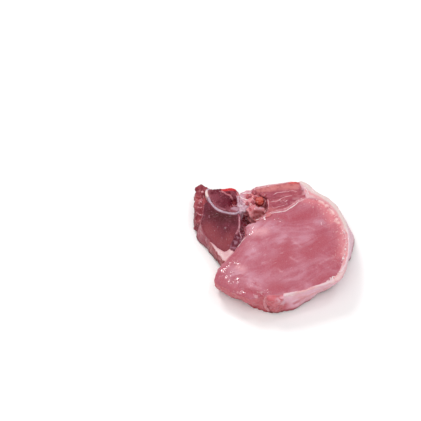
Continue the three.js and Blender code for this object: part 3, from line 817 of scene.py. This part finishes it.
# ---------------------------------------------------------------- arch of the vertebra
# The bony arch round the spinal canal, broken rather than sawn: lumps of bone, torn threads and
# lilac membrane, with a round stub of red marrow. The canal under it is lined with dark tissue.
canal_mouth = dotted("canal_mouth", (-17.2, 19.2), (-16.8, 17), (-15.6, 15.2))
breaks = dotted("arch_breaks", (-5.2, 26.5), (-5, 24.6), (-5.3, 22.8), (-9.4, 25.2), (-8.6, 25.2))


def torn_bone():
    """Broken bone with torn tissue on it: rough and wet, from pale pink lumps to dark red clefts. The
    lumps are painted lighter and the clefts and pits darker, as painted light and shade.
    """
    material, tree, place = new_finish("torn_bone_and_marrow")
    colour = painted(tree, "#e6959d", [
        # darker in the hollows of the relief and lighter on its lumps: painted shade and highlight
        (stored(tree, "crag", 0.5, 0.36, 0.8), "#a54c58"),
        (stored(tree, "crag", 0.54, 0.68, 0.6), "#e2a7ab"),
        (patches(tree, place, 3, 0.5, 0.64, 0.6), "#bb4c51"),
        (patches(tree, place, 1.8, 0.56, 0.68, 0.55), "#e6b4b6"),
        (attribute(tree, "salmon"), "#c9605f"),
        (attribute(tree, "shade"), "#741a2a"),
        (attribute(tree, "pale"), "#cfa9b8"),
        # dark pits at the breaks: painted shade
        (stored(tree, "pit", 0.2, 0.9, 0.9), "#6b2226"),
    ])
    return wet_surface(material, place, colour, 0.34, 1.3, 0.2, 0.15, 1.5)


def marrow():
    """Red marrow: orange-red, soft and a little cloudy, glossy on top, and darker at its foot with
    painted shade.
    """
    material, tree, place = new_finish("red_marrow")
    height = height_of(tree, place)
    colour = painted(tree, "#c85c55", [(patches(tree, place, 3, 0.42, 0.6, 0.7), "#b43d34"),
                                       (patches(tree, place, 1.8, 0.54, 0.7, 0.7), "#e29a94"),
                                       # dark foot: painted shade under the stub
                                       (masked(tree, height, 18.2 * MM, 16.6 * MM), "#701f17")])
    return wet_surface(material, place, colour, 0.25, 0.8, 0.1, 0.4)


torn_finish = torn_bone()
arch_wet = dotted("arch_wet_spots", (-14.6, 26.8), (-17.7, 29.2), (-13, 30), (-6, 21))
arch = tissue("vertebra_arch_bone", "vertebra_arch", "bone", torn_finish, fineness=0.3, softness=2,
              lump_size=5, lump_height=1.5, wrinkle_size=3.4, wrinkle_height=2, wet_spots=arch_wet,
              wet_radius=2.2, wet_height=1.8, pits=breaks, pit_radius=1.4, pit_depth=0.9, seed=12.0)
marked(arch, "pale", [(0.85, 2.2, [(-20.5, 33), (-20.8, 28), (-20.6, 20)]),
                      (0.5, 0.8, [(-11.5, 24), (-9.5, 23), (-7.5, 24)]),
                      (0.7, 1, [(-19, 35.4), (-15, 35.6), (-12, 37.4)])])
marked(arch, "shade", [(0.9, 3, [(-12, 20), (-7, 19)]), (0.9, 2.5, [(-12.5, 16.5), (-9, 17)]),
                       (0.8, 0.8, [(-5.4, 27.5), (-4.7, 25), (-5.1, 22)]),
                       (0.8, 0.9, [(-11, 25.2), (-7.4, 25.2)])])
marked(arch, "salmon", [(0.8, 1.6, [(-14.8, 32.1)]), (0.6, 2, [(-12, 35), (-6, 35.4)])])
scattered("marrow_stub", "bone", marrow(), [(-9.2, 28.2)], size=2.9, variety=0.15, sink=0.7, detail=5,
          seed=6)
scattered("arch_lumps", "bone", torn_finish,
          [(-14.8, 32.3), (-12, 31), (-13.2, 28), (-6.2, 32),
           (-12.5, 34.6), (-9.6, 34), (-16.6, 31.4), (-17, 27)],
          size=1.4, variety=0.35, sink=0.5, detail=4, seed=7)


def canal_lining():
    """The lining of the spinal canal: dark red and hollow, under a pale net of torn membrane."""
    material, tree, place = new_finish("spinal_canal_lining")
    colour = painted(tree, "#8b3f4d", [
        (attribute(tree, "shade"), "#651a28"),
        (cells(tree, place, 2.6, 0.14, 0.45), "#a87888"),
        (patches(tree, place, 1.2, 0.62, 0.72, 0.5), "#b791a0"),
    ])
    return wet_surface(material, place, colour, 0.32, 1.2, 0.2, 0.2)


canal = tissue("spinal_canal_tissue", "canal_tissue", "dark_meat", canal_lining(), fineness=0.35,
               lump_size=3, lump_height=1.6, pits=canal_mouth, pit_radius=3, pit_depth=1, seed=13.0)
marked(canal, "shade", [(1, 4, [(-17.3, 19.6), (-15.6, 14.5)]), (0.7, 2, [(-20.5, 11), (-20.5, 6)])])
web_finish = thin_tissue("lilac_membrane", "#cba2b0", "#ecdce2", "#ad7a8a")
strands("membrane_web", web_finish, [(-22.6, 33.6), (-22.2, 29), (-21.9, 25), (-21.9, 20)],
        [(-20.4, 31.6), (-20.7, 27.5), (-21.2, 23), (-21.7, 18.5)],
        [(-18.2, 29.6), (-19.4, 26), (-20.6, 22), (-21.3, 17.5)],
        [(-16, 27.4), (-18.2, 24.4), (-20, 21.4)], width=2.6, sink=0.9, wander=1, seed=6.0)
strands("torn_threads", fascia_finish,
        [(-22.6, 35), (-21, 31.6), (-19.2, 30.3), (-17.2, 29.4), (-15.8, 29.8)],
        [(-20.9, 34.6), (-17, 35), (-13.8, 34.6)], [(-15, 28), (-14.4, 26), (-14.8, 24.4)],
        [(-7.6, 14.6), (-6.6, 13.2)], [(-18.4, 12.6), (-16.4, 12.2)], [(-12, 15.4), (-9.4, 14.4)],
        width=0.8, wander=1, seed=7.0)

# ---------------------------------------------------------------- flank fat, trim and rim muscle
# What is left of the neighbouring cuts: a wedge of fat and meat under the tenderloin, torn lumps
# of red meat outside the vertebra, and the end of a small muscle in the rim below the eye muscle,
# folded over and held by a strip of membrane.


def flank_meat_and_fat():
    """Flank: soft pinkish fat on top, and a torn, dull red wall of meat that darkens downwards
    with painted shade.
    """
    material, tree, place = new_finish("flank_meat_and_fat")
    side = steep(tree)
    height = height_of(tree, place)
    colour = painted(tree, "#e4c1c3", [
        (patches(tree, place, 5, 0.45, 0.62, 0.6), "#d9a5ab"),
        (stored(tree, "seam", 1.5 * MM, 0.4 * MM, 0.8), "#d3959d"),
        (times(tree, side, 0.95), "#b45d64"),
        (times(tree, side, patches(tree, place, 3, 0.5, 0.62, 0.6)), "#9c4a52"),
        (times(tree, side, patches(tree, place, 2, 0.56, 0.68, 0.5)), "#cc878c"),
        # darker in patches towards the foot of the wall: painted shade
        (times(tree, times(tree, side, masked(tree, height, 9 * MM, 1 * MM)),
               patches(tree, place, 6, 0.3, 0.6)), "#5c1b21"),
    ])
    return wet_surface(material, place, colour, 0.38, 1.4, 0.15)


def rim_meat():
    """The end of a small muscle: coarse salmon-red folds with pale fat at one end, moist all over.
    Painted shade darkens the hollows of its folds and, with blood, its foot, and painted highlights
    lie on the crests of the folds.
    """
    material, tree, place = new_finish("rim_muscle_meat")
    height = height_of(tree, place)
    colour = painted(tree, "#cb6972", [
        # darker in the hollows of the relief and lighter on its crests: painted shade and highlight
        (stored(tree, "crag", 0.5, 0.36, 0.6), "#b3505b"),
        (stored(tree, "crag", 0.54, 0.66, 0.5), "#e08a95"),
        (patches(tree, place, 1.4, 0.55, 0.7, 0.2), "#e7a9b0"),
        (stored(tree, "seam", 1.2 * MM, 0.3 * MM, 0.5), "#d98995"),
        (attribute(tree, "crescent"), "#e09aa2"),
        (times(tree, attribute(tree, "fatty"), patches(tree, place, 3, 0.25, 0.5)), "#e6b9c6"),
        # dark foot: partly blood, partly painted shade where it meets the table
        (masked(tree, height, 5 * MM, 0.5 * MM, 0.9), "#7c2029"),
    ])
    return wet_surface(material, place, colour, 0.36, 1.2, 0.1)


def trim_meat():
    """Torn trim: rough maroon and salmon lumps with a dull, half-dry shine."""
    material, tree, place = new_finish("torn_trim_meat")
    colour = painted(tree, "#92454e", [
        # darker in the hollows of the relief and lighter on its crests: painted shade and highlight
        (stored(tree, "crag", 0.48, 0.36, 0.6), "#8c3f49"),
        (stored(tree, "crag", 0.54, 0.7, 0.6), "#b9717a"),
        (patches(tree, place, 5, 0.5, 0.6, 0.6), "#b55b60"),
        (stored(tree, "salmon", 0.1, 0.9, 0.9), "#d27375"),
        (stored(tree, "shade", 0.1, 0.9, 0.8), "#7b323b"),
        (patches(tree, place, 1.5, 0.58, 0.7, 0.5), "#d79aa0"),
    ])
    return wet_surface(material, place, colour, 0.42, 1.3, 0.15, 0.08)


tissue("flank_fat_strip", "flank_fat", "fat", flank_meat_and_fat(), fineness=0.3, ragged_size=3,
       ragged_height=3, wrinkle_height=0.3, seed=14.0)
trim_finish = trim_meat()
trim = tissue("trim_meat_rags", "trim_meat", "red_meat", trim_finish, fineness=0.3, lump_size=8,
              lump_height=2.5, wrinkle_size=4, wrinkle_height=1.8, ragged_size=5, ragged_height=1.8,
              seed=15.0)
marked(trim, "salmon", [(1, 4.5, [(-47, 41, 17), (-43, 40, 17)]),
                        (0.9, 2.8, [(-48, 37, 17), (-45.6, 33, 17)]),
                        (0.6, 2.6, [(-49, 30, 16), (-46, 25, 16)])])
marked(trim, "shade", [(0.8, 4, [(-49, 21), (-44, 17)])])
rim_finish = rim_meat()
rim_end = {
    0: [(-6, -41.2), (-4.6, -42.2), (-2.5, -42.7), (-1, -41), (-5, -39.5)],
    8: [(-7, -41.6), (-5.6, -42.4), (-3, -43.2), (-1, -41), (-6, -39.5)],
    15.5: [(-7.6, -41.2), (-6.2, -42.3), (-4, -43.2), (-2, -41), (-6.6, -39.5)]}
knob = tissue("rim_muscle_lean", "rim_muscle", "red_meat", rim_finish, rim_end, fineness=0.3,
              lump_size=5, lump_height=1, wrinkle_size=4.5, wrinkle_height=0.8, seed=16.0)
crescent = [(-7.7, -41.6, 17.4), (-7.6, -41.8, 13), (-6.8, -42.2, 8), (-5.6, -42.3, 4.2), (-4, -42.1, 0.6)]
marked(knob, "crescent", [(0.9, 1.1, crescent)])
marked(knob, "fatty", [(1, 2, [(4, -42.8, 17.4), (0.8, -43.8, 17.6)]),
                       (0.8, 1.6, [(4, -42.8, 15), (3, -43, 12)])])
strands("rim_strand", thin_tissue("rim_membrane", "#dd8e96", "#f0b9bf", "#cb7a84"), crescent, width=2.3,
        onto=None, wander=0.1, unevenness=0.3, seed=9.0)
strands("rim_folds", rim_finish, [(-3.8, -42.2, 5), (-3.4, -42.5, 8.6), (-1.8, -43, 12.6)],
        [(-0.6, -42.7, 3.4), (0, -42.9, 8), (1.6, -42.7, 12.4)], slot="red_meat", width=3, onto=None,
        wander=0.6, unevenness=0.5, seed=2.0)
scattered("trim_lumps", "red_meat", trim_finish, [(-46.4, 39.6), (-44, 38), (-47.6, 35)], size=3.4,
          variety=0.2, sink=2.3, detail=4, seed=8)
scattered("trim_tabs", "connective_tissue", membrane_finish,
          [(-45.4, 34.4), (-46.4, 31.4), (-45.2, 36.4)], size=1.4, variety=0.5, sink=0.5, detail=4,
          seed=9)
strands("trim_threads", membrane_finish, [(-48.6, 38), (-47, 36.4), (-45, 37.6)],
        [(-49, 26), (-47, 24.9), (-44.9, 26.4)], [(-48.4, 22), (-47.4, 20.4), (-44.3, 18.9)],
        [(-47.4, 30), (-45.2, 28.8)], [(-49.4, 33), (-47, 33.6), (-44.6, 30)], width=0.9, wander=1.5,
        seed=8.0)

# ---------------------------------------------------------------- floor, light and camera
# A white table in a bright studio: a wide soft light overhead, a smaller one from behind on the
# left, a small one from behind on the right for the wet glints, and pale walls all round. The
# camera looks down on the chop from in front.
floor_mesh = bpy.data.meshes.new("table_top")
edge = 2.0  # the table runs on for 2 m each way
floor_mesh.from_pydata([(-edge, -edge, 0), (edge, -edge, 0), (edge, edge, 0), (-edge, edge, 0)], [],
                       [(0, 1, 2, 3)])
floor = bpy.data.objects.new("table_top", floor_mesh)
bpy.context.scene.collection.objects.link(floor)
# White laminate: plain, matt and a very little uneven in tone.
floor_finish, tree, place = new_finish("white_laminate")
shade = add(tree, "ShaderNodeMix", {0: patches(tree, place, 60, 0.4, 0.6), 6: linear("#f9f8f7"),
                                    7: linear("#f7f7f7")}, data_type="RGBA").outputs[2]
laminate = put(tree, "ShaderNodeBsdfPrincipled", {"Base Color": shade, "Roughness": 0.6})
add(tree, "ShaderNodeOutputMaterial", {"Surface": laminate})
floor_mesh.materials.append(floor_finish)


def soft_light(name, place, size, power):
    """A square soft box that faces the chop. Its place and size are in metres, its power in watts."""
    lamp = bpy.data.lights.new(name, "AREA")
    lamp.size = size
    lamp.energy = power
    box = bpy.data.objects.new(name, lamp)
    box.location = place
    box.rotation_euler = Vector(place).to_track_quat("Z", "Y").to_euler()
    bpy.context.scene.collection.objects.link(box)


soft_light("overhead", (-0.1, -0.35, 1.1), 1.0, 6)
soft_light("key", (-0.35, 0.5, 0.8), 0.26, 3.2)
soft_light("glint", (0.3, 0.25, 0.95), 0.12, 0.8)
world = bpy.data.worlds.new("studio")
world.use_nodes = True
world.node_tree.nodes["Background"].inputs[0].default_value = linear("#ffffff")
world.node_tree.nodes["Background"].inputs[1].default_value = 0.55
bpy.context.scene.world = world
bpy.context.scene.view_settings.view_transform = "Standard"

AIM = Vector((-40.17, 31.79, 0)) * MM
DISTANCE = 754.5 * MM
ELEVATION = math.radians(57)
lens = bpy.data.cameras.new("camera")
lens.lens = 100
lens.sensor_width = 36
lens.clip_start = 0.05
camera = bpy.data.objects.new("camera", lens)
camera.location = AIM + Vector((0, -math.cos(ELEVATION), math.sin(ELEVATION))) * DISTANCE
camera.rotation_euler = (math.pi / 2 - ELEVATION, 0, 0)
bpy.context.scene.collection.objects.link(camera)
bpy.context.scene.camera = camera
